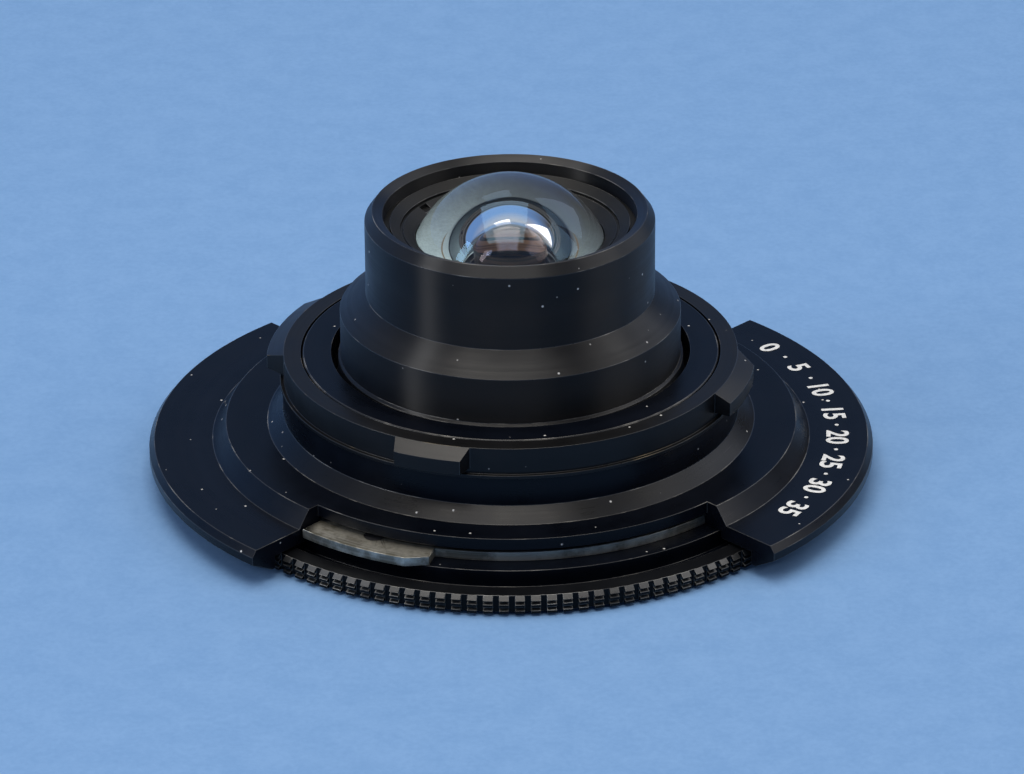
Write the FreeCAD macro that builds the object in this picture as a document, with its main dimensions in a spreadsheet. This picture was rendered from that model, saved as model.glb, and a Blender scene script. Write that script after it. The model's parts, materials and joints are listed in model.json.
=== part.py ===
import FreeCAD, Part
import math
import os
import Sketcher

# A bayonet-mount ultra-wide lens with a fixed stop, standing on its front ring with the rear element up.
# +Z runs along the optical axis towards the camera, +X through the middle of the engraved wing.
# The origin is on the optical axis, in the plane of the front ring's rest face. Lengths are millimetres.

doc = FreeCAD.newDocument("bayonet_lens")
sheet = doc.addObject("Spreadsheet::Sheet", "Sizes")

SIZES = {
    # Flange body: neck, seat for the camera, and the two wings
    "neck_radius": 21.8, "neck_top": 9.55, "neck_base": 6.75, "neck_bore": 18.5,
    "seat_radius": 23.3, "seat_height": 5.49, "seat_under": 4.35, "seat_edge": 26.12,
    "wing_step_radius": 27.3, "wing_flat_radius": 28.6, "wing_top": 3.84,
    "wing_chamfer_radius": 34.2, "wing_radius": 34.7, "wing_chamfer_base": 3.2, "wing_rim_base": 2.4,
    "skirt_edge_radius": 32.4, "skirt_radius": 31.8, "skirt_base": 1.04, "wing_under": 2.35,
    "wing_inner": 27.95, "plate_room": 25.9, "hub_roof": 3.1,
    "tube_radius": 22.3, "tube_bore": 19.0, "tube_base": 2.95, "tube_bore_top": 5.05,
    "front_cut_start": -133.4, "front_cut_sweep": 87.5, "back_cut_start": 45.6, "back_cut_sweep": 88.7,
    "cut_relief_radius": 25.0,
    # Bayonet ring and the clamp ring that guides the barrel
    "bayonet_top": 12.5, "bayonet_radius": 21.65, "bayonet_foot_radius": 22.02, "bayonet_foot": 0.35,
    "bayonet_bore": 20.0, "bayonet_ledge": 11.0, "lug_radius": 23.27, "lug_shoulder": 11.78, "lug_base": 10.4,
    "clamp_radius": 19.85, "clamp_bevel": 0.1, "guide_bore": 17.1,
    # Guide screw through the neck into the barrel's keyway
    "guide_height": 7.6, "guide_thread": 1.5, "guide_nose": 0.95, "guide_tip": 15.8, "guide_head_face": 21.5,
    "keyway_width": 2.0, "keyway_floor": 15.5,
    # Collar that carries the focus ring
    "collar_radius": 23.6, "collar_base": 1.75, "collar_screw_place": 20.7,
    # Focus ring, its grip, stop plate and front scale ring
    "hub_radius": 27.6, "hub_top": 3.0, "hub_bore": 23.65, "hub_floor": 1.7,
    "nut_bore": 17.6, "nut_radius": 18.9, "nut_top": 4.9, "nut_base": 0.8,
    "web_top": 1.35, "web_radius": 28.9, "web_base": 0.35,
    "scale_radius": 28.2, "scale_bore": 18.3, "scale_screw_place": 25.4,
    "grip_radius": 31.0, "grip_top": 2.02, "grip_bevel": 0.4, "grip_groove": 0.2, "grip_groove_depth": 0.22,
    "grip_row": 0.42, "grip_slot_depth": 0.42, "grip_slot_width": 0.58, "grip_teeth": 132,
    "plate_bore": 22.4, "plate_radius": 25.7, "plate_top": 3.9, "tab_radius": 28.4, "tab_start": -133.0,
    "tab_sweep": 27.0, "tab_end_radius": 27.5, "plate_screw_place": 24.6, "tab_screw_place": 25.5,
    "tab_angle": -119.75,
    # Small countersunk screws
    "screw_radius": 0.6, "screw_head_radius": 1.0, "screw_head": 0.45, "screw_slot": 0.3,
    "long_screw_radius": 0.8, "long_head_radius": 1.4, "long_head": 0.65,
    # Optical barrel
    "rim_top": 27.0, "ridge_radius": 13.0, "rim_radius": 13.72, "rim_chamfer_base": 26.0,
    "rim_funnel_base": 26.6, "rear_bore": 12.0, "shoulder_top": 18.8, "shoulder_base": 16.86,
    "barrel_radius": 16.2, "foot_top": 12.4,
    "foot_base": 12.15, "foot_radius": 16.45, "land_radius": 17.05, "land_top": 8.9, "land_base": 5.9,
    "relief_radius": 16.5, "thread_radius": 17.55, "thread_top": 4.9, "barrel_base": 0.95,
    "mid_bore": 9.0, "mid_top": 19.5, "mid_base": 11.5, "trim_seat_radius": 16.6, "trim_seat": 3.6,
    "trim_step_radius": 13.4,
    # Glass: two equal menisci around a thick centre element
    "dome_radius": 9.73, "dome_drop": 4.0, "hollow_radius": 4.55, "hollow_rise": 0.36, "element_radius": 8.87,
    "rear_base": 24.24, "rear_back": 21.6, "front_base": 6.76, "front_back": 9.4,
    "stop_height": 15.5, "centre_radius": 3.9, "centre_cap_radius": 3.3, "centre_ledge": 4.55,
    "centre_cap_edge": 7.58, "centre_curve": 3.9, "waist_half": 2.0, "waist_radius": 1.3,
    # Cells and their rings
    "cell_step": 7.6, "flange_top": 20.3, "cell_top": 24.9, "inner_ring_radius": 10.1,
    "inner_ring_base": 23.6, "lock_inner": 10.35, "lock_radius": 11.35, "lock_flange_top": 25.3,
    "lock_top": 25.75, "lock_inner_top": 25.15,
    "front_cell_base": 6.1, "front_ring_seat": 7.4, "funnel_bore": 8.95, "funnel_base": 24.3,
    "neck_outer": 7.0, "neck_height": 21.05, "retainer_base": 20.05, "retainer_radius": 5.9,
    "centre_lip": 10.0, "spanner_width": 1.1, "spanner_depth": 0.5, "spanner_angle": 146.0,
    "trim_mouth": 16.2, "trim_throat": 10.4, "trim_throat_base": 5.8,
}
for row, (alias, number) in enumerate(SIZES.items(), start=1):
    sheet.set(f"A{row}", alias)
    sheet.set(f"B{row}", str(number))
    sheet.setAlias(f"B{row}", alias)
doc.recompute()


class Size:
    """A length or angle that knows both its number and its expression on the sheet."""

    def __init__(self, text, number):
        self.text = text
        self.number = number

    def combine(self, sign, other, number):
        other_text = other.text if isinstance(other, Size) else str(other)
        return Size(f"({self.text} {sign} {other_text})", number)

    def __add__(self, other):
        return self.combine("+", other, self.number + number_of(other))

    def __sub__(self, other):
        return self.combine("-", other, self.number - number_of(other))

    def __mul__(self, other):
        return self.combine("*", other, self.number * number_of(other))


def number_of(value):
    return value.number if isinstance(value, Size) else value


def plain(number):
    """A number that isn't a driving dimension, in the form the helpers take."""
    return Size(str(number), number)


def polar(radius, angle):
    """The x and y of a point at a radius and an angle about the axis."""
    turn = math.radians(angle.number)
    along_x = radius * Size(f"cos({angle.text})", math.cos(turn))
    along_y = radius * Size(f"sin({angle.text})", math.sin(turn))
    return along_x, along_y


def of(alias):
    return Size(f"Sizes.{alias}", SIZES[alias])


def bind(item, prop, value):
    """Tie one property of an object to the sheet."""
    item.setExpression(prop, value.text)


ZERO = plain(0)
MARGIN = plain(2.0)


# ---------------------------------------------------------------- sketches and turned bodies

def origin_plane(body, role):
    return next(item for item in body.Origin.OriginFeatures if item.Role == role)


def new_sketch(body, name, role="XZ_Plane", height=None):
    sketch = body.newObject("Sketcher::SketchObject", name)
    sketch.AttachmentSupport = [(origin_plane(body, role), "")]
    sketch.MapMode = "FlatFace"
    if height is not None:
        bind(sketch, "AttachmentOffset.Base.z", height)
    return sketch


def pin_point(sketch, edge, end, x, y):
    """Fix one end of an edge by its distances from the sketch's origin; None leaves a direction free."""
    for kind, value, axis in (("DistanceX", x, -2), ("DistanceY", y, -1)):
        if value is None:
            continue
        if number_of(value) == 0:
            sketch.addConstraint(Sketcher.Constraint("PointOnObject", edge, end, axis))
            continue
        index = sketch.addConstraint(Sketcher.Constraint(kind, -1, 1, edge, end, number_of(value)))
        sketch.setExpression(f"Constraints[{index}]", value.text)


def draw_outline(sketch, points):
    """Close a loop of straight edges through (x, y) points given as sizes."""
    places = [FreeCAD.Vector(number_of(x), number_of(y), 0) for x, y in points]
    count = len(points)
    first = sketch.GeometryCount
    for index in range(count):
        sketch.addGeometry(Part.LineSegment(places[index], places[(index + 1) % count]))
    for index in range(count):
        following = first + (index + 1) % count
        sketch.addConstraint(Sketcher.Constraint("Coincident", first + index, 2, following, 1))
    for index, (x, y) in enumerate(points):
        pin_point(sketch, first + index, 1, x, y)


def turned(label, points):
    """A body turned about Z from a closed (radius, height) outline."""
    body = doc.addObject("PartDesign::Body", label)
    sketch = new_sketch(body, label + "_outline")
    draw_outline(sketch, points)
    turn = body.newObject("PartDesign::Revolution", label + "_turned")
    turn.Profile = sketch
    turn.ReferenceAxis = (sketch, ["V_Axis"])
    turn.Angle = 360
    doc.recompute()
    return body


def tube(label, inner, outer, base, top):
    """A plain turned ring between two radii and two heights."""
    return turned(label, [(of(inner), of(base)), (of(outer), of(base)),
                          (of(outer), of(top)), (of(inner), of(top))])


# ---------------------------------------------------------------- primitives and booleans

def cylinder(name, radius, base, top, angle=None, turn=None):
    item = doc.addObject("Part::Cylinder", name)
    bind(item, "Radius", radius)
    bind(item, "Height", top - base)
    bind(item, "Placement.Base.z", base)
    if angle is not None:
        bind(item, "Angle", angle)
        bind(item, "Placement.Rotation.Angle", turn)
    return item


def cut(name, base, tool):
    item = doc.addObject("Part::Cut", name)
    item.Base = base
    item.Tool = tool
    return item


def fuse(name, shapes):
    item = doc.addObject("Part::MultiFuse", name)
    item.Shapes = shapes
    return item


def sector(name, inner, outer, base, top, start, sweep):
    """A slice of a ring: inner and outer radius, base and top height, start angle and sweep in degrees."""
    slice_of_disc = cylinder(name + "_slice", outer, base, top, sweep, start)
    core = cylinder(name + "_core", inner, base - 1, top + 1)
    return cut(name, slice_of_disc, core)


def move_to(item, x, y, z):
    bind(item, "Placement.Base.x", x)
    bind(item, "Placement.Base.y", y)
    bind(item, "Placement.Base.z", z)


def box(name, length, width, height, x, y, z):
    item = doc.addObject("Part::Box", name)
    bind(item, "Length", length)
    bind(item, "Width", width)
    bind(item, "Height", height)
    move_to(item, x, y, z)
    return item


def countersunk(name, shank_radius, head_radius, head, face, length, radius, angle, upward, slot=None):
    """A countersunk screw whose head face lies at one height, or the hole for one when slot is None."""
    x, y = polar(radius, angle)
    cone = doc.addObject("Part::Cone", name + "_head")
    bind(cone, "Height", head)
    bind(cone, "Radius1", shank_radius if upward else head_radius)
    bind(cone, "Radius2", head_radius if upward else shank_radius)
    move_to(cone, x, y, face - head if upward else face)
    shank = doc.addObject("Part::Cylinder", name + "_shank")
    bind(shank, "Radius", shank_radius)
    bind(shank, "Height", length)
    move_to(shank, x, y, face - length if upward else face)
    solid = fuse(name + "_blank", [cone, shank])
    if slot is None:
        return solid
    groove = box(name + "_slot", head_radius * 2.2, slot, head * 0.8,
                 x - head_radius * 1.1, y - slot * 0.5, face - head * 0.4)
    return cut(name, solid, groove)


def group(label, solids):
    """Identical fasteners kept together as one node of separate solids."""
    item = doc.addObject("Part::Compound", label)
    item.Links = solids
    return item


# ---------------------------------------------------------------- mount: flange, bayonet, clamp, collar

def guide_hole(name, radius, inner, outer):
    """A round bar along +Y at the guide screw's height, between two distances from the axis."""
    bar = doc.addObject("Part::Cylinder", name)
    bar.Placement = FreeCAD.Placement(FreeCAD.Vector(0, 0, 0), FreeCAD.Rotation(FreeCAD.Vector(1, 0, 0), -90))
    bind(bar, "Radius", radius)
    bind(bar, "Height", outer - inner)
    move_to(bar, ZERO, inner, of("guide_height"))
    return bar


def screw_ring(name, place, first, **kind):
    """Three countersunk screws, or their holes, evenly spaced on a circle."""
    return [countersunk(f"{name}_{index}", radius=of(place), angle=plain(first + 120 * index), **kind)
            for index in range(3)]


COLLAR_SCREWS = dict(place="collar_screw_place", first=30, shank_radius=of("long_screw_radius"),
                     head_radius=of("long_head_radius"), head=of("long_head"), face=of("collar_base"),
                     length=of("seat_under") - of("collar_base"), upward=False)


def build_flange():
    turned_body = turned("flange_turned", [
        (of("neck_bore"), of("neck_top")), (of("neck_bore"), of("tube_bore_top")),
        (of("tube_bore"), of("tube_bore_top")), (of("tube_bore"), of("tube_base")),
        (of("tube_radius"), of("tube_base")), (of("tube_radius"), of("seat_under")),
        (of("plate_room"), of("seat_under")), (of("plate_room"), of("hub_roof")),
        (of("wing_inner"), of("hub_roof")), (of("wing_inner"), of("wing_under")),
        (of("skirt_radius"), of("wing_under")), (of("skirt_radius"), of("skirt_base")),
        (of("skirt_edge_radius"), of("skirt_base")), (of("wing_radius"), of("wing_rim_base")),
        (of("wing_radius"), of("wing_chamfer_base")), (of("wing_chamfer_radius"), of("wing_top")),
        (of("wing_flat_radius"), of("wing_top")), (of("wing_step_radius"), of("seat_height")),
        (of("seat_radius"), of("seat_height")), (of("neck_radius"), of("neck_base")),
        (of("neck_radius"), of("neck_top"))])
    reach = of("wing_radius") + MARGIN
    gaps = []
    for side in ("front", "back"):
        arc = (of(side + "_cut_start"), of(side + "_cut_sweep"))
        gaps.append(sector(side + "_cut", of("seat_edge"), reach, ZERO, of("seat_height") + MARGIN, *arc))
        gaps.append(sector(side + "_relief", of("cut_relief_radius"), reach, ZERO, of("seat_under"), *arc))
    gaps += screw_ring("collar_hole", **COLLAR_SCREWS)
    gaps.append(guide_hole("thread_hole", of("guide_thread"), of("neck_bore") - 1, of("neck_radius") + 1))
    return cut("flange_body", turned_body, fuse("flange_gaps", gaps))


# Each lug's first azimuth and sweep at its root, and how far its two ends lean in as they run outward
LUGS = ((-28.0, 27.2, 0, 58), (66.0, 20.0, 25, 50), (147.7, 36.3, 25, 50), (-119.7, 19.7, 28, 24))
LUG_TRIM = plain(6)


def trimmed_end(lug, name, azimuth, lean, side):
    """A lug cut back from its root corner along a leaning line; side is -1 at its start and 1 at its end."""
    turn = plain(azimuth - lean * side)
    x, y = polar(of("bayonet_radius"), plain(azimuth))
    if side < 0:
        across_x, across_y = polar(LUG_TRIM, plain(azimuth - lean * side + 90))
        x, y = x - across_x, y - across_y
    block = box(name + "_trim", LUG_TRIM, LUG_TRIM, of("bayonet_top") - of("lug_base") + MARGIN * 2,
                x, y, of("lug_base") - MARGIN)
    bind(block, "Placement.Rotation.Angle", turn)
    return cut(name, lug, block)


def build_bayonet():
    disc = turned("bayonet_disc", [
        (of("neck_bore"), of("neck_top")), (of("bayonet_foot_radius"), of("neck_top")),
        (of("bayonet_foot_radius"), of("neck_top") + of("bayonet_foot")),
        (of("bayonet_radius"), of("neck_top") + of("bayonet_foot")),
        (of("bayonet_radius"), of("bayonet_top")), (of("bayonet_bore"), of("bayonet_top")),
        (of("bayonet_bore"), of("bayonet_ledge")),
        (of("neck_bore"), of("bayonet_ledge"))])
    lug_ring = turned("lug_ring", [
        (of("bayonet_radius") - 0.5, of("lug_base")), (of("lug_radius"), of("lug_base")),
        (of("lug_radius"), of("lug_shoulder")), (of("bayonet_radius"), of("bayonet_top")),
        (of("bayonet_radius") - 0.5, of("bayonet_top"))])
    lugs = []
    for index, (start, sweep, start_lean, end_lean) in enumerate(LUGS):
        wedge = cylinder(f"lug_wedge_{index}", of("lug_radius") + 1, of("lug_base"), of("bayonet_top"),
                         plain(sweep), plain(start))
        lug = doc.addObject("Part::Common", f"lug_{index}")
        lug.Base = lug_ring
        lug.Tool = wedge
        if start_lean:
            lug = trimmed_end(lug, f"lug_start_{index}", start, start_lean, -1)
        lugs.append(trimmed_end(lug, f"lug_end_{index}", start + sweep, end_lean, 1))
    return fuse("bayonet_ring", [disc] + lugs)


def build_clamp():
    ring = turned("clamp_turned", [
        (of("guide_bore"), of("tube_bore_top")), (of("neck_bore"), of("tube_bore_top")),
        (of("neck_bore"), of("bayonet_ledge")), (of("clamp_radius"), of("bayonet_ledge")),
        (of("clamp_radius"), of("bayonet_top") - of("clamp_bevel")),
        (of("clamp_radius") - of("clamp_bevel"), of("bayonet_top")),
        (of("guide_bore"), of("bayonet_top"))])
    hole = guide_hole("clamp_hole", of("guide_thread"), of("guide_bore") - 1, of("neck_bore") + 1)
    return cut("clamp_ring", ring, hole)


def build_guide_screw():
    thread = guide_hole("guide_shank", of("guide_thread"), of("guide_bore") + 0.1, of("guide_head_face"))
    nose = guide_hole("guide_nose_pin", of("guide_nose"), of("guide_tip"), of("guide_head_face"))
    width = of("screw_slot")
    slot = box("guide_slot", of("guide_thread") * 2.2, of("guide_thread"), width, of("guide_thread") * -1.1,
               of("guide_head_face") - of("guide_thread") * 0.5, of("guide_height") - width * 0.5)
    return cut("guide_screw", fuse("guide_blank", [thread, nose]), slot)


def build_collar():
    ring = tube("collar_turned", "tube_bore", "collar_radius", "collar_base", "tube_base")
    holes = screw_ring("collar_sink", **COLLAR_SCREWS)
    screws = screw_ring("collar_screw", slot=of("screw_slot"), **COLLAR_SCREWS)
    return [cut("collar_ring", ring, fuse("collar_holes", holes)), group("collar_screws", screws)]


# ---------------------------------------------------------------- focus ring and what turns with it

SMALL_SCREW = dict(shank_radius=of("screw_radius"), head_radius=of("screw_head_radius"),
                   head=of("screw_head"))
PLATE_SCREWS = dict(face=of("plate_top"), length=of("plate_top") - of("web_top"), upward=True,
                    **SMALL_SCREW)
SCALE_SCREWS = dict(place="scale_screw_place", first=10, face=ZERO, length=of("hub_floor") + 0.3,
                    upward=False, **SMALL_SCREW)


def plate_screw_set(name, slot=None):
    """One screw through the tab and three more through the plate's ring, a quarter turn apart."""
    places = [(of("tab_screw_place"), of("tab_angle"))]
    places += [(of("plate_screw_place"), of("tab_angle") + 90 * turn) for turn in (1, 2, 3)]
    return [countersunk(f"{name}_{index}", radius=radius, angle=angle, slot=slot, **PLATE_SCREWS)
            for index, (radius, angle) in enumerate(places)]


def build_focus_ring():
    ring = turned("focus_turned", [
        (of("nut_bore"), of("nut_base")), (of("scale_radius"), of("nut_base")),
        (of("scale_radius"), of("web_base")), (of("web_radius"), of("web_base")),
        (of("web_radius"), of("web_top")), (of("hub_radius"), of("web_top")),
        (of("hub_radius"), of("hub_top")), (of("hub_bore"), of("hub_top")),
        (of("hub_bore"), of("hub_floor")), (of("nut_radius"), of("hub_floor")),
        (of("nut_radius"), of("nut_top")), (of("nut_bore"), of("nut_top"))])
    holes = plate_screw_set("hub_hole") + screw_ring("hub_scale_hole", **SCALE_SCREWS)
    return cut("focus_ring", ring, fuse("focus_holes", holes))


def build_grip():
    bottom, top, outer = of("web_base"), of("grip_top"), of("grip_radius")
    floor, row, groove = outer - of("grip_groove_depth"), of("grip_row"), of("grip_groove")
    first = bottom + row
    second = first + groove + row
    body = turned("grip_ring", [
        (of("web_radius"), bottom), (outer, bottom), (outer, first), (floor, first),
        (floor, first + groove), (outer, first + groove), (outer, second), (floor, second),
        (floor, second + groove), (outer, second + groove), (outer, top - of("grip_bevel")),
        (outer - of("grip_bevel"), top), (of("web_radius"), top)])
    sketch = new_sketch(body, "grip_slot_outline", "XY_Plane", top)
    half = of("grip_slot_width") * 0.5
    near, far = outer - of("grip_slot_depth"), outer + 1
    draw_outline(sketch, [(near, half * -1), (far, half * -1), (far, half), (near, half)])
    before = body.Shape.Volume
    slot = body.newObject("PartDesign::Pocket", "grip_slot")
    slot.Profile = sketch
    bind(slot, "Length", top - bottom + 1)
    doc.recompute()
    if not body.Shape.Volume < before:
        slot.Reversed = True
        doc.recompute()
    pattern = body.newObject("PartDesign::PolarPattern", "grip_teeth")
    pattern.Originals = [slot]
    pattern.Axis = (sketch, ["N_Axis"])
    pattern.Angle = 360
    bind(pattern, "Occurrences", of("grip_teeth"))
    body.Tip = pattern
    doc.recompute()
    return body


def build_stop_plate():
    """A thin ring that holds the focus ring on the collar, with the finger tab that meets the wings."""
    ring = tube("plate_turned", "plate_bore", "plate_radius", "hub_top", "plate_top")
    tab = doc.addObject("PartDesign::Body", "plate_tab")
    sketch = new_sketch(tab, "tab_outline", "XY_Plane", of("hub_top"))
    start, sweep, root = of("tab_start"), of("tab_sweep"), of("plate_radius") - 0.6
    outer, corner = of("tab_radius"), of("tab_end_radius")
    stations = [polar(outer, start + sweep * 0.12 * step) for step in range(8)]
    stations.append(polar(corner, start + sweep))
    inner = [polar(root, start + sweep * share) for share in (1, 0.66, 0.33, 0)]
    draw_outline(sketch, stations + inner)
    pad = tab.newObject("PartDesign::Pad", "tab_pad")
    pad.Profile = sketch
    bind(pad, "Length", of("plate_top") - of("hub_top"))
    doc.recompute()
    blank = fuse("plate_blank", [ring, tab])
    return [cut("stop_plate", blank, fuse("plate_holes", plate_screw_set("plate_hole"))),
            group("plate_screws", plate_screw_set("plate_screw", of("screw_slot")))]


def build_scale_ring():
    ring = turned("scale_turned", [
        (of("scale_bore"), ZERO), (of("scale_radius"), ZERO), (of("scale_radius"), of("nut_base")),
        (of("scale_bore"), of("nut_base"))])
    holes = screw_ring("scale_hole", **SCALE_SCREWS)
    screws = screw_ring("scale_screw", slot=of("screw_slot"), **SCALE_SCREWS)
    return [cut("scale_ring", ring, fuse("scale_holes", holes)), group("scale_screws", screws)]


# ---------------------------------------------------------------- optical unit

def build_barrel():
    blank = turned("barrel_turned", [
        (of("ridge_radius"), of("rim_top")), (of("rim_radius"), of("rim_chamfer_base")),
        (of("rim_radius"), of("shoulder_top")), (of("barrel_radius"), of("shoulder_base")),
        (of("barrel_radius"), of("foot_top")), (of("foot_radius"), of("foot_base")),
        (of("foot_radius"), of("land_top")), (of("land_radius"), of("land_top")),
        (of("land_radius"), of("land_base")), (of("relief_radius"), of("land_base")),
        (of("relief_radius"), of("thread_top")), (of("thread_radius"), of("thread_top")),
        (of("thread_radius"), of("barrel_base")), (of("trim_seat_radius"), of("barrel_base")),
        (of("trim_seat_radius"), of("trim_seat")), (of("trim_step_radius"), of("trim_seat")),
        (of("trim_step_radius"), of("front_cell_base")), (of("rear_bore"), of("front_cell_base")),
        (of("rear_bore"), of("mid_base")), (of("mid_bore"), of("mid_base")),
        (of("mid_bore"), of("mid_top")), (of("rear_bore"), of("mid_top")),
        (of("rear_bore"), of("rim_funnel_base"))])
    width = of("keyway_width")
    floor, base = of("keyway_floor"), of("thread_top") + 0.1
    keyway = box("keyway", width, of("land_radius") + MARGIN - floor, of("land_top") + 0.5 - base,
                 width * -0.5, floor, base)
    return cut("optical_barrel", blank, keyway)


def dome_outline(sketch, base, back, centre, apex_side):
    """Half section of a meniscus: polished dome, edge cylinder, flat ground back and spherical hollow."""
    edge, hollow = of("element_radius"), of("hollow_radius")
    dome = of("dome_radius")
    inner_centre = centre + of("hollow_rise") * apex_side
    lip = math.sqrt(hollow.number ** 2 - (back.number - inner_centre.number) ** 2)
    top = centre.number + apex_side * dome.number
    inner_top = inner_centre.number + apex_side * hollow.number
    places = [FreeCAD.Vector(0, top, 0), FreeCAD.Vector(edge.number, base.number, 0),
              FreeCAD.Vector(edge.number, back.number, 0), FreeCAD.Vector(lip, back.number, 0),
              FreeCAD.Vector(0, inner_top, 0)]

    def arc(start, end, height, radius):
        angles = [math.atan2(place.y - height.number, place.x) for place in (start, end)]
        circle = Part.Circle(FreeCAD.Vector(0, height.number, 0), FreeCAD.Vector(0, 0, 1), radius.number)
        return Part.ArcOfCircle(circle, min(angles), max(angles))

    outer_arc = sketch.addGeometry(arc(places[0], places[1], centre, dome))
    edge_line = sketch.addGeometry(Part.LineSegment(places[1], places[2]))
    back_line = sketch.addGeometry(Part.LineSegment(places[2], places[3]))
    inner_arc = sketch.addGeometry(arc(places[3], places[4], inner_centre, hollow))
    axis_line = sketch.addGeometry(Part.LineSegment(places[4], places[0]))
    apex, rim = (2, 1) if apex_side > 0 else (1, 2)
    joins = [(outer_arc, rim, edge_line, 1), (edge_line, 2, back_line, 1), (back_line, 2, inner_arc, rim),
             (inner_arc, apex, axis_line, 1), (axis_line, 2, outer_arc, apex)]
    for first, first_end, second, second_end in joins:
        sketch.addConstraint(Sketcher.Constraint("Coincident", first, first_end, second, second_end))
    pin_point(sketch, outer_arc, 3, ZERO, centre)
    pin_point(sketch, inner_arc, 3, ZERO, inner_centre)
    pin_point(sketch, edge_line, 1, edge, base)
    pin_point(sketch, edge_line, 2, edge, back)
    pin_point(sketch, back_line, 2, None, back)
    pin_point(sketch, axis_line, 1, ZERO, None)
    pin_point(sketch, axis_line, 2, ZERO, None)
    index = sketch.addConstraint(Sketcher.Constraint("Radius", inner_arc, hollow.number))
    sketch.setExpression(f"Constraints[{index}]", hollow.text)


def build_meniscus(label, base, back, apex_side):
    body = doc.addObject("PartDesign::Body", label)
    sketch = new_sketch(body, label + "_outline")
    centre = base - of("dome_drop") * apex_side
    dome_outline(sketch, base, back, centre, apex_side)
    turn = body.newObject("PartDesign::Revolution", label + "_turned")
    turn.Profile = sketch
    turn.ReferenceAxis = (sketch, ["V_Axis"])
    turn.Angle = 360
    return body


def build_centre_lens():
    """Thick element with a convex end each way and a ground waist that is the fixed stop."""
    middle, half, cap = of("stop_height"), of("waist_half"), of("centre_cap_radius")
    ledge, edge = of("centre_ledge"), of("centre_cap_edge")
    waist, radius = of("waist_radius"), of("centre_radius")
    core = turned("centre_core", [
        (ZERO, middle - edge), (cap, middle - edge), (cap, middle - ledge), (radius, middle - ledge),
        (radius, middle - half), (waist, middle), (radius, middle + half), (radius, middle + ledge),
        (cap, middle + ledge), (cap, middle + edge), (ZERO, middle + edge)])
    curve = of("centre_curve")
    rise = Size(f"sqrt({curve.text} * {curve.text} - {cap.text} * {cap.text})",
                math.sqrt(curve.number ** 2 - cap.number ** 2))
    pieces = [core]
    for name, centre, base in (("upper", middle + edge - rise, middle + edge),
                               ("lower", middle - edge + rise, middle - edge - MARGIN * 2)):
        ball = doc.addObject("Part::Sphere", f"centre_{name}_ball")
        bind(ball, "Radius", curve)
        bind(ball, "Placement.Base.z", centre)
        cap_room = cylinder(f"centre_{name}_room", cap + 1, base, base + MARGIN * 2)
        end = doc.addObject("Part::Common", f"centre_{name}_cap")
        end.Base = ball
        end.Tool = cap_room
        pieces.append(end)
    return fuse("centre_lens", pieces)


def build_centre_cell():
    cell = turned("centre_cell", [
        (of("centre_cap_radius") + 0.05, of("centre_lip")), (of("neck_outer"), of("centre_lip")),
        (of("neck_outer"), of("mid_base")), (of("mid_bore"), of("mid_base")), (of("mid_bore"), of("mid_top")),
        (of("rear_bore"), of("mid_top")), (of("rear_bore"), of("flange_top")),
        (of("neck_outer"), of("flange_top")), (of("neck_outer"), of("neck_height")),
        (of("retainer_radius"), of("neck_height")),
        (of("retainer_radius"), of("retainer_base")), (of("centre_radius"), of("retainer_base")),
        (of("centre_radius"), of("stop_height") - of("centre_ledge")),
        (of("centre_cap_radius") + 0.05, of("stop_height") - of("centre_ledge"))])
    ring = turned("centre_retainer", [
        (of("centre_cap_radius") + 0.05, of("retainer_base")), (of("retainer_radius"), of("retainer_base")),
        (of("retainer_radius"), of("neck_height") + 0.3),
        (of("centre_cap_radius") + 0.5, of("neck_height") + 0.3),
        (of("centre_cap_radius") + 0.05, of("neck_height"))])
    return [cell, ring]


def build_rear_cell():
    cell = turned("rear_cell", [
        (of("cell_step"), of("flange_top")), (of("rear_bore"), of("flange_top")),
        (of("rear_bore"), of("cell_top")),
        (of("inner_ring_radius"), of("cell_top")), (of("inner_ring_radius"), of("inner_ring_base")),
        (of("element_radius"), of("inner_ring_base")), (of("element_radius"), of("rear_back")),
        (of("cell_step"), of("rear_back"))])
    lock = turned("rear_lock_ring", [
        (of("lock_inner"), of("cell_top")), (of("rear_bore"), of("cell_top")),
        (of("rear_bore"), of("lock_flange_top")),
        (of("lock_radius"), of("lock_flange_top")), (of("lock_radius"), of("lock_top")),
        (of("lock_inner"), of("lock_inner_top"))])
    return [cell, lock]


def spanner_slots(body, height, angle):
    """A bar right across a ring, which leaves two slots for a spanner at the ends of a diameter."""
    length, width = of("rear_bore") * 2, of("spanner_width")
    along_x, along_y = polar(length * -0.5, angle)
    across_x, across_y = polar(width * -0.5, angle + 90)
    bar = box(body.Label + "_slots", length, width, of("spanner_depth") * 2,
              along_x + across_x, along_y + across_y, height)
    bind(bar, "Placement.Rotation.Angle", angle)
    return bar


def build_element_rings():
    rear = turned("rear_ring_turned", [
        (of("funnel_bore"), of("inner_ring_base")), (of("inner_ring_radius"), of("inner_ring_base")),
        (of("inner_ring_radius"), of("cell_top") + 0.1), (of("funnel_bore"), of("funnel_base"))])
    front = turned("front_ring_turned", [
        (of("funnel_bore"), of("front_ring_seat")), (of("inner_ring_radius"), of("front_ring_seat")),
        (of("inner_ring_radius"), of("front_cell_base")), (of("funnel_bore"), of("front_base"))])
    angle = of("spanner_angle")
    rear_slots = spanner_slots(rear, of("cell_top") + 0.1 - of("spanner_depth"), angle)
    front_slots = spanner_slots(front, of("front_cell_base") - of("spanner_depth"), angle)
    return [cut("rear_element_ring", rear, rear_slots), cut("front_element_ring", front, front_slots)]


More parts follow.
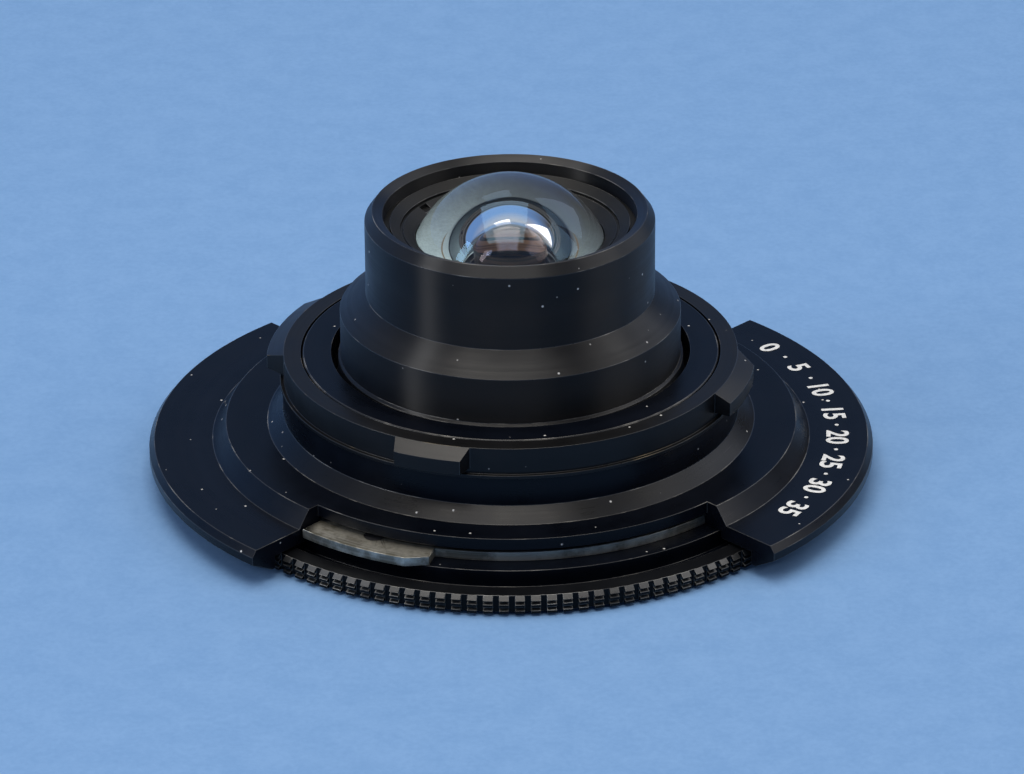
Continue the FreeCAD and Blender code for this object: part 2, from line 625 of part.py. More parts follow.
def build_front_end():
    cell = turned("front_cell", [
        (of("cell_step"), of("mid_base")), (of("rear_bore"), of("mid_base")),
        (of("rear_bore"), of("front_cell_base")),
        (of("inner_ring_radius"), of("front_cell_base")), (of("inner_ring_radius"), of("front_ring_seat")),
        (of("element_radius"), of("front_ring_seat")), (of("element_radius"), of("front_back")),
        (of("cell_step"), of("front_back"))])
    trim = turned("front_trim_ring", [
        (of("trim_seat_radius"), of("barrel_base")), (of("trim_seat_radius"), of("trim_seat")),
        (of("trim_step_radius"), of("trim_seat")), (of("trim_step_radius"), of("front_cell_base")),
        (of("trim_throat"), of("front_cell_base")), (of("trim_throat"), of("trim_throat_base")),
        (of("trim_mouth"), of("barrel_base"))])
    return [cell, trim]


parts = [build_flange(), build_bayonet(), build_clamp(), build_guide_screw(), *build_collar(),
         build_focus_ring(), build_grip(), *build_stop_plate(), *build_scale_ring(),
         build_barrel(), build_meniscus("rear_lens", of("rear_base"), of("rear_back"), 1),
         build_meniscus("front_lens", of("front_base"), of("front_back"), -1), build_centre_lens(),
         *build_centre_cell(), *build_rear_cell(), *build_element_rings(), *build_front_end()]
doc.recompute()

for item in doc.Objects:
    if "Invalid" in item.State or "Error" in item.State:
        raise RuntimeError(f"{item.Label} did not build: {item.State}")
os.makedirs("parts", exist_ok=True)
for item in parts:
    if item.Shape.isNull() or not item.Shape.isValid():
        raise RuntimeError(f"{item.Label} has no valid shape")
    item.Shape.exportStep(f"parts/{item.Label}.step")
    print(item.Label, len(item.Shape.Solids), round(item.Shape.Volume, 2))
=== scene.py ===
import json
import math

import bmesh
import bpy
from mathutils import Matrix, Vector
from mathutils.bvhtree import BVHTree
from mathutils.geometry import delaunay_2d_cdt


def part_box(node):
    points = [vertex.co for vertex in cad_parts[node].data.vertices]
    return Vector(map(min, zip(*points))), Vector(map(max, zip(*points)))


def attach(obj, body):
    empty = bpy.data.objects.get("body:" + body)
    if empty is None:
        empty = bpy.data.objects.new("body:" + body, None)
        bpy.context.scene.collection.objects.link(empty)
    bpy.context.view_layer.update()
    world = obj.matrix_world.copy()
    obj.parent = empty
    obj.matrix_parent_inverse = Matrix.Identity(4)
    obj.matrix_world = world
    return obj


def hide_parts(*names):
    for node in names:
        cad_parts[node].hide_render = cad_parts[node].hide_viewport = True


# Looks for a bayonet-mount ultra-wide lens that lies on its front ring with the rear element up.
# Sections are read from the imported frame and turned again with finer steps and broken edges.
# Lengths in this script are millimetres, and azimuths and elevations are degrees.

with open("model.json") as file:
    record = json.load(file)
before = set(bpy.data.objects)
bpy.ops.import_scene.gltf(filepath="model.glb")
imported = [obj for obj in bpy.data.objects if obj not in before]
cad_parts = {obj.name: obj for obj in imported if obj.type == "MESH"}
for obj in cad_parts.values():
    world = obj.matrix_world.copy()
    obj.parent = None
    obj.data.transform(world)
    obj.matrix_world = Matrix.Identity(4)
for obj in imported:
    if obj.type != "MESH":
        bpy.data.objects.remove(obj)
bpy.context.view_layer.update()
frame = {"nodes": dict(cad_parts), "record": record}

METRES = 0.001
UP = Vector((0, 0, 1))

# How sections are read: where they are cut, and what counts as a corner, as the same circle or as touching.
SECTION_AZIMUTH = 3.1
CORNER_TURN = math.radians(8)
SNAP = 0.05
TOUCH = 1e-3
MERGE = 2e-4
FINE_AZIMUTH = 0.02
CLEAR_SHARE = 0.36
PLAN_DROP = 0.01

for leftover in ("Cube", "Light", "Camera"):
    if leftover in bpy.data.objects:
        bpy.data.objects.remove(bpy.data.objects[leftover])


# ---------------------------------------------------------------- sections of the frame's nodes

def turn_of(before, here, after):
    """The angle between the edge into a point and the edge out of it."""
    one, two = here - before, after - here
    if one.length < TOUCH or two.length < TOUCH:
        return 0.0
    return abs(one.angle_signed(two))


def corners(path, closed):
    """The points of a path where it turns; the ends of an open path stay."""
    kept = []
    for index, here in enumerate(path):
        if not closed and index in (0, len(path) - 1):
            kept.append(here)
        elif turn_of(path[index - 1], here, path[(index + 1) % len(path)]) > CORNER_TURN:
            kept.append(here)
    return kept


def chains(edges):
    """Orders loose edges into paths of vertices; a closed path ends where it starts."""
    links = {}
    for edge in edges:
        one, two = edge.verts
        links.setdefault(one, []).append(two)
        links.setdefault(two, []).append(one)
    paths = []
    while any(links.values()):
        ends = [vert for vert, others in links.items() if len(others) == 1]
        start = ends[0] if ends else next(vert for vert, others in links.items() if others)
        path = [start]
        while links[path[-1]]:
            following = links[path[-1]].pop()
            links[following].remove(path[-1])
            path.append(following)
        paths.append(path)
    return paths


def cut_edges(mesh, normal, point=(0, 0, 0), drop_behind=False):
    """Cuts a bmesh with a plane and returns the edges that lie in it."""
    found = bmesh.ops.bisect_plane(
        mesh, geom=mesh.verts[:] + mesh.edges[:] + mesh.faces[:], dist=1e-6,
        plane_co=point, plane_no=normal, clear_inner=drop_behind)
    return [item for item in found["geom_cut"] if isinstance(item, bmesh.types.BMEdge)]


def node_mesh(node, azimuth=0.0):
    """A CAD node's mesh in millimetres, turned so that an azimuth lies along +X."""
    mesh = bmesh.new()
    mesh.from_mesh(frame["nodes"][node].data)
    mesh.transform(Matrix.Rotation(-math.radians(azimuth), 4, "Z") @ Matrix.Scale(1 / METRES, 4))
    bmesh.ops.remove_doubles(mesh, verts=mesh.verts, dist=1e-4)
    return mesh


def snapped(point, rims):
    """A section corner moved out from the chord it was cut on to the circle it belongs to."""
    near = [radius for radius, height in rims
            if abs(height - point.y) < TOUCH and abs(radius - point.x) < SNAP]
    radius = min(near, key=lambda value: abs(value - point.x), default=point.x)
    return Vector((radius, point.y))


def section(node, azimuth=SECTION_AZIMUTH):
    """Where a half plane through the axis cuts a CAD node: paths of (radius, height) corners."""
    mesh = node_mesh(node, azimuth)
    rims = [(Vector(vert.co[:2]).length, vert.co.z) for vert in mesh.verts]
    cut_edges(mesh, (1, 0, 0), drop_behind=True)
    loops = []
    for path in chains(cut_edges(mesh, (0, 1, 0))):
        closed = path[0] is path[-1]
        points = [Vector((vert.co.x, vert.co.z)) for vert in path[:-1 if closed else None]]
        loops.append([snapped(point, rims) for point in corners(points, closed)])
    mesh.free()
    return loops


def plan(node, height):
    """Where a level plane cuts a CAD node: loops of (x, y) points."""
    mesh = node_mesh(node)
    loops = []
    for path in chains(cut_edges(mesh, (0, 0, 1), (0, 0, height))):
        loops.append([Vector((vert.co.x, vert.co.y)) for vert in path[:-1]])
    mesh.free()
    return loops


# ---------------------------------------------------------------- building solids from sections

def closed_pairs(loop):
    return list(zip(loop, loop[1:] + loop[:1]))


def inside(point, loops):
    """Even-odd test of a point against closed loops."""
    crossings = 0
    for loop in loops:
        for one, two in closed_pairs(loop):
            if (one.y > point.y) != (two.y > point.y):
                share = (point.y - one.y) / (two.y - one.y)
                crossings += point.x < one.x + share * (two.x - one.x)
    return crossings % 2 == 1


def split_at(loop, points):
    """The loop with a corner added wherever one of the points lies on an edge."""
    result = []
    for one, two in closed_pairs(loop):
        result.append(one)
        along = two - one
        shares = set()
        for point in points:
            share = (point - one).dot(along) / along.length_squared
            gap = (point - one - along * share).length
            if gap < TOUCH and TOUCH < share < 1 - TOUCH:
                shares.add(round(share, 5))
        result += [one + along * share for share in sorted(shares)]
    return result


def filled(loops, wanted):
    """Triangles over the area that closed loops bound, where wanted(point) holds."""
    points, edges = [], []
    for loop in loops:
        first = len(points)
        points += loop
        edges += [(first + index, first + (index + 1) % len(loop)) for index in range(len(loop))]
    verts, _, faces, *_ = delaunay_2d_cdt(points, edges, [], 0, 1e-5)
    shapes = [[verts[index] for index in face] for face in faces]
    return [shape for shape in shapes if wanted(sum(shape, Vector((0, 0))) / len(shape))]


def around(point, azimuth):
    """The place in space of a (radius, height) point at an azimuth."""
    turn = math.radians(azimuth)
    return Vector((point.x * math.cos(turn), point.x * math.sin(turn), point.y))


def on_axis(point):
    return abs(point.x) < TOUCH


def spun(sectors, step=1.0):
    """A solid turned about the axis; its sectors, each (start, end, loops), follow round the circle."""
    mesh = bmesh.new()
    for start, end, loops in sectors:
        count = max(1, math.ceil((end - start) / step))
        azimuths = [start + (end - start) * index / count for index in range(count + 1)]
        for loop in loops:
            columns = [[mesh.verts.new(around(point, azimuth)) for point in loop] for azimuth in azimuths]
            for index, (one, two) in enumerate(closed_pairs(loop)):
                if on_axis(one) and on_axis(two):
                    continue
                after = (index + 1) % len(loop)
                for here, there in zip(columns, columns[1:]):
                    mesh.faces.new((here[index], here[after], there[after], there[index]))
    for (_, end, loops), (_, _, others) in zip(sectors, sectors[1:] + sectors[:1]):
        if loops is others:
            continue
        for shape in filled(loops + others, lambda place: inside(place, loops) != inside(place, others)):
            mesh.faces.new([mesh.verts.new(around(point, end)) for point in shape])
    return tidied(mesh)


def tidied(mesh):
    bmesh.ops.remove_doubles(mesh, verts=mesh.verts, dist=MERGE)
    bmesh.ops.dissolve_degenerate(mesh, edges=mesh.edges, dist=1e-5)
    bmesh.ops.recalc_face_normals(mesh, faces=mesh.faces)
    return mesh


def arcs_restored(loop, steps=40):
    """A lens outline with its polished ends, which start on the axis, as fine arcs again."""
    result = []
    for one, two in closed_pairs(loop):
        result.append(one)
        if on_axis(one) == on_axis(two):
            continue
        apex, rim = (one, two) if on_axis(one) else (two, one)
        centre = (rim.length_squared - apex.y ** 2) / (2 * (rim.y - apex.y))
        radius = abs(apex.y - centre)
        whole = math.asin(rim.x / radius)
        side = math.copysign(radius, apex.y - centre)
        arc = [Vector((radius * math.sin(whole * index / steps),
                       centre + side * math.cos(whole * index / steps))) for index in range(1, steps)]
        result += arc if on_axis(one) else arc[::-1]
    return result


def sectored(node, spans, step=1.0, reshape=list):
    """A turned node with one section, reshaped, over the (start, sweep) spans and another between them."""
    start, sweep = spans[0]
    full = [reshape(loop) for loop in section(node, start + sweep * CLEAR_SHARE)]
    bare = section(node, start + sweep + (spans[1][0] - start - sweep) * CLEAR_SHARE)
    points = [point for loop in full + bare for point in loop]
    full = [split_at(loop, points) for loop in full]
    bare = [split_at(loop, points) for loop in bare]
    sectors = []
    for index, (start, sweep) in enumerate(spans):
        following = spans[index + 1][0] if index + 1 < len(spans) else spans[0][0] + 360
        sectors.append((start, start + sweep, full))
        sectors.append((start + sweep, following, bare))
    return spun(sectors, step)


def plate(node):
    """A flat node rebuilt from its plan just under its top face."""
    low, high = (corner.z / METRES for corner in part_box(node))
    loops = plan(node, high - PLAN_DROP)
    mesh = bmesh.new()
    for level in (low, high):
        for shape in filled(loops, lambda place: inside(place, loops)):
            mesh.faces.new([mesh.verts.new((point.x, point.y, level)) for point in shape])
    for loop in loops:
        for one, two in closed_pairs(loop):
            corners_of_wall = ((one, low), (two, low), (two, high), (one, high))
            mesh.faces.new([mesh.verts.new((point.x, point.y, level)) for point, level in corners_of_wall])
    return tidied(mesh)


def solid_spans(node, radius, height, first=-180, last=180, step=5):
    """Where a node is solid at one radius and height: (start, sweep) azimuths, read round the circle."""
    data = frame["nodes"][node].data
    tree = BVHTree.FromPolygons([vert.co / METRES for vert in data.vertices],
                                [face.vertices for face in data.polygons])

    def solid(azimuth):
        _, normal, _, _ = tree.ray_cast(around(Vector((radius, height)), azimuth), UP)
        return normal is not None and normal.z > 0

    azimuths = [first + TOUCH + step * index for index in range(round((last - first) / step) + 1)]
    starts, ends = [], []
    for before, after in zip(azimuths, azimuths[1:]):
        if solid(before) == solid(after):
            continue
        edge = ends if solid(before) else starts
        while after - before > FINE_AZIMUTH:
            middle = (before + after) / 2
            if (edge is ends) == solid(middle):
                before = middle
            else:
                after = middle
        edge.append((before + after) / 2)
    if ends[0] < starts[0]:
        ends.append(ends.pop(0) + 360)
    return [(start, end - start) for start, end in zip(starts, ends)]


# ---------------------------------------------------------------- materials

class Graph:
    """A node tree, of a material or of the world, with short calls for the nodes used here."""

    def __init__(self, name, owners=bpy.data.materials, output="ShaderNodeOutputMaterial"):
        self.owner = owners.new(name)
        self.owner.use_nodes = True
        self.tree = self.owner.node_tree
        self.tree.nodes.clear()
        self.output = self.tree.nodes.new(output)

    def add(self, kind, inputs=None, **settings):
        node = self.tree.nodes.new("ShaderNode" + kind)
        for name, value in settings.items():
            setattr(node, name, value)
        for name, value in (inputs or {}).items():
            if isinstance(value, bpy.types.NodeSocket):
                self.tree.links.new(value, node.inputs[name])
            else:
                node.inputs[name].default_value = value
        return node

    def math(self, operation, one, two=0.0):
        node = self.add("Math", {0: one, 1: two}, operation=operation)
        return node.outputs[0]

    def blend(self, share, one, two):
        node = self.add("MixRGB", {0: share, 1: one, 2: two})
        return node.outputs[0]

    def span(self, value, low, high, out_low=0.0, out_high=1.0):
        node = self.add("MapRange", {"Value": value, "From Min": low, "From Max": high,
                                     "To Min": out_low, "To Max": out_high})
        return node.outputs[0]

    def place(self):
        return self.add("TexCoord").outputs["Object"]

    def noise(self, vector, scale, detail=2.0, rough=0.5):
        settings = {"Vector": vector, "Scale": scale, "Detail": detail, "Roughness": rough}
        return self.add("TexNoise", settings).outputs["Fac"]

    def turned_place(self):
        """Radius and height of a point, so that a texture read from them runs in rings."""
        parts = self.add("SeparateXYZ", {0: self.place()})
        level = self.add("CombineXYZ", {0: parts.outputs[0], 1: parts.outputs[1]})
        radius = self.add("VectorMath", {0: level.outputs[0]}, operation="LENGTH").outputs["Value"]
        return self.add("CombineXYZ", {0: radius, 1: parts.outputs[2]}).outputs[0]

    def facing(self):
        """How far a surface faces up, from 0 for a wall to 1 for a level top."""
        return self.add("SeparateXYZ", {0: self.add("NewGeometry").outputs["Normal"]}).outputs[2]

    def surface(self, shader):
        self.tree.links.new(shader.outputs[0], self.output.inputs["Surface"])
        return self.owner


def colour(red, green, blue):
    """An sRGB colour, 0 to 255, as the linear value that a node takes."""
    def linear(value):
        share = value / 255
        return share / 12.92 if share < 0.04045 else ((share + 0.055) / 1.055) ** 2.4
    return (linear(red), linear(green), linear(blue), 1.0)


DUST_CELLS = 620.0
DUST_RIM, DUST_CORE = 0.085, 0.04
DUST_COLOUR = colour(206, 204, 200)


def dust(graph, amount):
    """A mask of small specks of dust, one in each of an amount of the cells that fill the space."""
    cells = graph.add("TexVoronoi", {"Vector": graph.place(), "Scale": DUST_CELLS})
    draw = graph.add("SeparateColor", {0: cells.outputs["Color"]}).outputs[0]
    chosen = graph.math("GREATER_THAN", draw, 1.0 - amount)
    near = graph.span(cells.outputs["Distance"], DUST_RIM, DUST_CORE)
    return graph.math("MULTIPLY", chosen, near)


# Scales of the noise that varies a finish, in cells to a metre, and the upward normals of walls and flats.
LATHE_RINGS, BROAD_RINGS = 3800.0, 3800.0 / 9
CLOUDS, GRAIN = 190.0, 9000.0
WALL_LOW, WALL_HIGH = 0.15, 0.35
FLAT_LOW, FLAT_HIGH = 0.985, 0.95
WALL_SHARE = 0.4
RADIAL_STRETCH = 0.25


def turned_metal(name, base, rough, ring_depth, specks, specular, metallic=0.0, burnish=1.0, grooved=0.0):
    """Metal with the fine rings a lathe leaves, a little unevenness in its finish, and dust.

    Its cones, which rise at a slope, shine burnish times as much as its flats, and its walls a share of
    that. Grooved, from 0 to 1, stretches highlights across the rings."""
    graph = Graph(name)
    rings = graph.noise(graph.turned_place(), LATHE_RINGS, 3.0, 0.65)
    broad = graph.noise(graph.turned_place(), BROAD_RINGS, 2.0, 0.6)
    cloud = graph.noise(graph.place(), CLOUDS, 4.0, 0.6)
    grain = graph.noise(graph.place(), GRAIN, 2.0, 0.6)
    tone = graph.span(graph.math("ADD", cloud, broad), 0.7, 1.3)
    darker = tuple(value * 0.6 for value in base[:3]) + (1.0,)
    lighter = tuple(min(1.0, value * 1.5) for value in base[:3]) + (1.0,)
    paint = graph.blend(tone, darker, lighter)
    paint = graph.blend(dust(graph, specks), paint, DUST_COLOUR)
    gloss = graph.math("ADD", graph.span(cloud, 0.3, 0.7, rough - 0.05, rough + 0.06),
                       graph.span(rings, 0.3, 0.7, -0.03, 0.04))
    height = graph.math("ADD", graph.math("MULTIPLY", rings, ring_depth),
                        graph.math("MULTIPLY", grain, ring_depth * 0.5))
    bump = graph.add("Bump", {"Height": height, "Distance": 1e-6, "Strength": 1.0})
    facing = graph.facing()
    steep = graph.span(facing, WALL_LOW, WALL_HIGH, WALL_SHARE, 1.0)
    cone = graph.math("MULTIPLY", steep, graph.span(facing, FLAT_LOW, FLAT_HIGH))
    tangent = graph.add("Tangent", direction_type="RADIAL", axis="Z").outputs[0]
    shader = graph.add("BsdfPrincipled", {
        "Base Color": paint, "Metallic": metallic, "Roughness": gloss, "Normal": bump.outputs[0],
        "Anisotropic": grooved, "Anisotropic Rotation": RADIAL_STRETCH, "Tangent": tangent,
        "Specular IOR Level": graph.span(cone, 0.0, 1.0, specular, specular * burnish)})
    return graph.surface(shader)


def worn_edge(name, base, bare, share, rough=0.3):
    """A broken edge whose black finish has rubbed through here and there, most where it faces up."""
    graph = Graph(name)
    patches = graph.noise(graph.place(), 240.0, 3.0, 0.6)
    wear = graph.math("MULTIPLY", graph.span(patches, 0.66 - share * 0.3, 0.9 - share * 0.2),
                      graph.span(graph.facing(), 0.1, 0.5, 0.15, 1.0))
    paint = graph.blend(wear, base, bare)
    shader = graph.add("BsdfPrincipled", {
        "Base Color": paint, "Metallic": graph.math("MULTIPLY", wear, 0.8),
        "Roughness": graph.span(patches, 0.3, 0.7, rough - 0.06, rough + 0.1), "Specular IOR Level": 0.5})
    return graph.surface(shader)


PLATE_BLACK = (0.009, 0.009, 0.0095, 1.0)


def tab_steel(name, tab_radius):
    """A blackened plate whose finger tab, outside a radius, is rubbed down to tarnished steel."""
    graph = Graph(name)
    radius = graph.add("SeparateXYZ", {0: graph.turned_place()}).outputs[0]
    rings = graph.noise(graph.turned_place(), 5200.0, 4.0, 0.7)
    clouds = graph.noise(graph.place(), 330.0, 5.0, 0.62)
    tarnish = graph.span(clouds, 0.42, 0.6)
    paint = graph.blend(tarnish, colour(196, 192, 178), colour(104, 100, 86))
    paint = graph.blend(graph.span(rings, 0.35, 0.7, 0.0, 0.3), paint, colour(222, 220, 214))
    paint = graph.blend(dust(graph, 0.1), paint, colour(225, 225, 225))
    height = graph.math("ADD", rings, clouds)
    bump = graph.add("Bump", {"Height": height, "Distance": 4e-6, "Strength": 0.8})
    bare = graph.span(radius, (tab_radius - 0.5) * METRES, (tab_radius + 0.05) * METRES)
    paint = graph.blend(bare, PLATE_BLACK, paint)
    shader = graph.add("BsdfPrincipled", {
        "Base Color": paint, "Metallic": graph.span(bare, 0.0, 1.0, 0.0, 0.85), "Specular IOR Level": 0.3,
        "Roughness": graph.span(clouds, 0.3, 0.7, 0.28, 0.5), "Normal": bump.outputs[0]})
    return graph.surface(shader)


GLASS_INDEX, FILM_INDEX = 1.52, 1.38
HOLLOW_LIP, FRINGE = 4.44, (0.1, 0.02)
GROUND_SHADE, GROUND_LIT = -7.5, 6.5
# Heights and depths between which the centre lens's steps are painted browner, as painted light soaking in.
STOP_LOW, STOP_HIGH = 16.2, 18.8
STOP_NEAR, STOP_FAR = -1.0, 2.5


def coated_glass(name, film):
    """Polished glass that lamps shine through; a film, in nanometres, tints what it mirrors."""
    graph = Graph(name)
    smear = graph.noise(graph.place(), 260.0, 3.0, 0.6)
    shader = graph.add("BsdfPrincipled", {
        "Base Color": (1.0, 1.0, 1.0, 1.0), "Roughness": graph.span(smear, 0.45, 0.75, 0.0, 0.02),
        "IOR": GLASS_INDEX, "Transmission Weight": 1.0, "Thin Film Thickness": film,
        "Thin Film IOR": FILM_INDEX})
    clear = graph.add("BsdfTransparent", {"Color": (0.92, 0.93, 0.94, 1.0)})
    shadow = graph.add("LightPath").outputs["Is Shadow Ray"]
    return graph.surface(graph.add("MixShader", {0: shadow, 1: shader.outputs[0], 2: clear.outputs[0]}))


def ground_glass(name, shaded, lit):
    """The frosted, unpolished sides of a lens. They are painted paler toward the front and the left, which
    stands in for light that soaks into the glass there."""
    graph = Graph(name)
    grain = graph.noise(graph.place(), 6000.0, 3.0, 0.6)
    cloud = graph.noise(graph.place(), 300.0, 3.0, 0.6)
    parts = graph.add("SeparateXYZ", {0: graph.place()})
    across = graph.math("ADD", graph.math("MULTIPLY", parts.outputs[0], -0.6),
                        graph.math("MULTIPLY", parts.outputs[1], -1.0))
    paint = graph.blend(graph.span(across, GROUND_SHADE * METRES, GROUND_LIT * METRES), shaded, lit)
    dim = graph.blend(1.0, paint, (0.66, 0.66, 0.66, 1.0))
    dim.node.blend_type = "MULTIPLY"
    paint = graph.blend(graph.span(graph.math("ADD", grain, cloud), 0.7, 1.3), dim, paint)
    radius = graph.add("SeparateXYZ", {0: graph.turned_place()}).outputs[0]
    fringe = graph.span(radius, *((HOLLOW_LIP + extra) * METRES for extra in FRINGE))
    paint = graph.blend(fringe, paint, colour(86, 70, 40))
    shader = graph.add("BsdfPrincipled", {"Base Color": paint, "Roughness": 0.75})
    return graph.surface(shader)


def blackened_glass(name):
    """The stop's ground and blackened sides, with the wheel's steps. The steps are painted browner upward
    and backward, a painted glow that stands in for light soaking into the glass from above and behind.
    """
    graph = Graph(name)
    steps = graph.noise(graph.turned_place(), 3600.0, 2.0, 0.5)
    parts = graph.add("SeparateXYZ", {0: graph.place()})
    # Painted light: the brown steps show only toward the top and the back, standing in for light that soaks
    # into the glass there.
    upward = graph.span(parts.outputs[2], STOP_LOW * METRES, STOP_HIGH * METRES, 0.03, 1.0)
    backward = graph.span(parts.outputs[1], STOP_NEAR * METRES, STOP_FAR * METRES, 0.1, 1.0)
    painted_soak_light = graph.math("MULTIPLY", graph.span(steps, 0.46, 0.56), upward)
    painted_soak_light = graph.math("MULTIPLY", painted_soak_light, backward)
    paint = graph.blend(painted_soak_light, (0.010, 0.008, 0.007, 1.0), colour(160, 124, 96))
    return graph.surface(graph.add("BsdfPrincipled", {"Base Color": paint, "Roughness": 0.5}))


def paint_fill(name):
    """White paint with a fine grain, as it fills engraved marks."""
    graph = Graph(name)
    grain = graph.noise(graph.place(), 2600.0, 3.0, 0.6)
    paint = graph.blend(graph.span(grain, 0.35, 0.65), colour(206, 207, 205), colour(232, 232, 230))
    shader = graph.add("BsdfPrincipled", {"Base Color": paint, "Roughness": 0.6})
    return graph.surface(shader)


def floor_paper(name):
    """Plain blue card with a faint mottle."""
    graph = Graph(name)
    mottle = graph.noise(graph.place(), 260.0, 5.0, 0.65)
    fibre = graph.noise(graph.place(), 1500.0, 4.0, 0.7)
    paint = graph.blend(graph.span(graph.math("ADD", mottle, fibre), 0.8, 1.2),
                        colour(113, 152, 197), colour(121, 159, 203))
    bump = graph.add("Bump", {"Height": fibre, "Distance": 3e-5, "Strength": 0.5})
    shader = graph.add("BsdfPrincipled", {
        "Base Color": paint, "Roughness": 0.8, "Specular IOR Level": 0.2, "Normal": bump.outputs[0]})
    return graph.surface(shader)


ANODISED = turned_metal("black_anodised_turned", (0.0022, 0.0032, 0.0062, 1.0), 0.30, 0.9, 0.5, 0.095,
                        burnish=2.8)
ANODISED_GRIP = turned_metal("black_anodised_grip", (0.0038, 0.0042, 0.0052, 1.0), 0.34, 0.7, 0.1, 0.1)
BLACK_BRASS = turned_metal("blackened_brass_turned", (0.0058, 0.0058, 0.0062, 1.0), 0.33, 0.9, 0.4, 0.15,
                           burnish=2.4)
BARREL_BLACK = turned_metal("barrel_black_turned", (0.0060, 0.0056, 0.0058, 1.0), 0.40, 1.3, 0.4, 0.27,
                            burnish=1.9, grooved=1.0)
MATTE_BLACK = turned_metal("matte_black_inside", (0.0085, 0.0085, 0.0082, 1.0), 0.46, 2.4, 0.06, 0.2)
BRASS = turned_metal("bare_brass_turned", (0.55, 0.38, 0.14, 1.0), 0.34, 1.2, 0.03, 0.5, 1.0)
SCREW_STEEL = turned_metal("blackened_steel_screws", (0.020, 0.020, 0.022, 1.0), 0.36, 0.8, 0.02, 0.5)
TAB_RADIUS = 25.75
STEEL = tab_steel("bare_steel_tarnished", TAB_RADIUS)
EDGE = worn_edge("anodised_edges", (0.014, 0.0145, 0.016, 1.0), colour(156, 153, 146), 0.45)
BRASS_EDGE = worn_edge("blackened_brass_edges", (0.013, 0.013, 0.013, 1.0), colour(168, 150, 118), 0.3)
GRIP_EDGE = worn_edge("grip_edges", (0.012, 0.012, 0.013, 1.0), colour(150, 150, 146), 1.0)
# Painted highlight: a lighter grey, shinier finish for the grip's sloping bevels, partly their own sheen and
# partly standing in for the light they catch.
GRIP_BEVEL = turned_metal("grip_bevels", (0.020, 0.0205, 0.021, 1.0), 0.38, 0.7, 0.05, 0.9)
REAR_GLASS = coated_glass("rear_element_glass", 160.0)
CENTRE_GLASS = coated_glass("centre_element_glass", 125.0)
FRONT_GLASS = coated_glass("front_element_glass", 108.0)
GROUND = ground_glass("ground_glass", colour(8, 14, 25), colour(166, 190, 198))
GROUND_DARK = blackened_glass("blackened_ground_glass")
MARK_WHITE = paint_fill("engraving_fill")


# ---------------------------------------------------------------- pieces

EDGE_ANGLE = math.radians(15)
EDGE_BREAK, FINE_BREAK = 0.05, 0.035


def piece(name, mesh, body, materials, nodes=(), break_edges=EDGE_BREAK, edge_slot=-1, slot=None):
    """Makes a bmesh in millimetres into a shown piece that rides on a body and stands for CAD nodes."""
    mesh.transform(Matrix.Scale(METRES, 4))
    data = bpy.data.meshes.new(name)
    mesh.to_mesh(data)
    mesh.free()
    for face in data.polygons:
        face.use_smooth = True
    data.set_sharp_from_angle(angle=EDGE_ANGLE)
    for material in materials:
        data.materials.append(material)
    item = bpy.data.objects.new(name, data)
    bpy.context.scene.collection.objects.link(item)
    if break_edges:
        bevel = item.modifiers.new("broken_edges", "BEVEL")
        bevel.width = break_edges * METRES
        bevel.segments = 2
        bevel.limit_method = "ANGLE"
        bevel.angle_limit = EDGE_ANGLE
        bevel.use_clamp_overlap = False
        bevel.harden_normals = True
        bevel.material = edge_slot
    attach(item, body)
    if nodes:
        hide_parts(*nodes)
    return item


BODIES = frame["record"]["behaviour"]["bodies"]
BODY_OF = {node: body for body, members in BODIES.items() for node in members}


def turned_piece(node, materials, mesh=None, **options):
    """Stands for one CAD node that is turned all round."""
    if mesh is None:
        mesh = spun([(0, 360, section(node))])
    slot = frame["nodes"][node].data.materials[0].name
    return piece("look_" + node, mesh, BODY_OF[node], materials, [node], slot=slot, **options)


def high(node):
    """A node's highest corner, in millimetres."""
    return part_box(node)[1] / METRES


def low(node):
    """A node's lowest corner, in millimetres."""
    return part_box(node)[0] / METRES


def azimuth_of(point):
    return math.degrees(math.atan2(point.y, point.x))


WING_INSET, WING_LEVEL, WING_STEP = 2.0, 3.0, 15
SKIRT_STEP, SKIRT_DEPTH = 0.42, 0.3
SKIRT_INNER, SKIRT_OUTER, SKIRT_TOP = 32.2, 32.6, 1.5


def flange():
    """The neck and seat all round, and a wing each side between the cuts, with a finely milled skirt."""
    node = "flange_body"
    wings = solid_spans(node, high(node).x - WING_INSET, WING_LEVEL, step=WING_STEP)
    mesh = sectored(node, wings, SKIRT_STEP)
    columns = {}
    for vert in mesh.verts:
        flat = Vector(vert.co[:2])
        if SKIRT_INNER < flat.length < SKIRT_OUTER and vert.co.z < SKIRT_TOP:
            columns.setdefault(round(azimuth_of(flat) / (SKIRT_STEP / 2)), []).append(vert)
    for index, column in enumerate(sorted(columns)):
        for vert in columns[column] if index % 2 else []:
            vert.co.xy *= 1 - SKIRT_DEPTH / Vector(vert.co[:2]).length
    return mesh


LUG_ROOT, LUG_LEVEL, LUG_MIDDLE = 21.75, 11.0, 165.0
RIM_INSET = 0.05


def off_span(azimuth, span):
    """How far an azimuth lies from the middle of a (start, sweep) span, in degrees."""
    return abs((azimuth - span[0] - span[1] / 2 + 180) % 360 - 180)


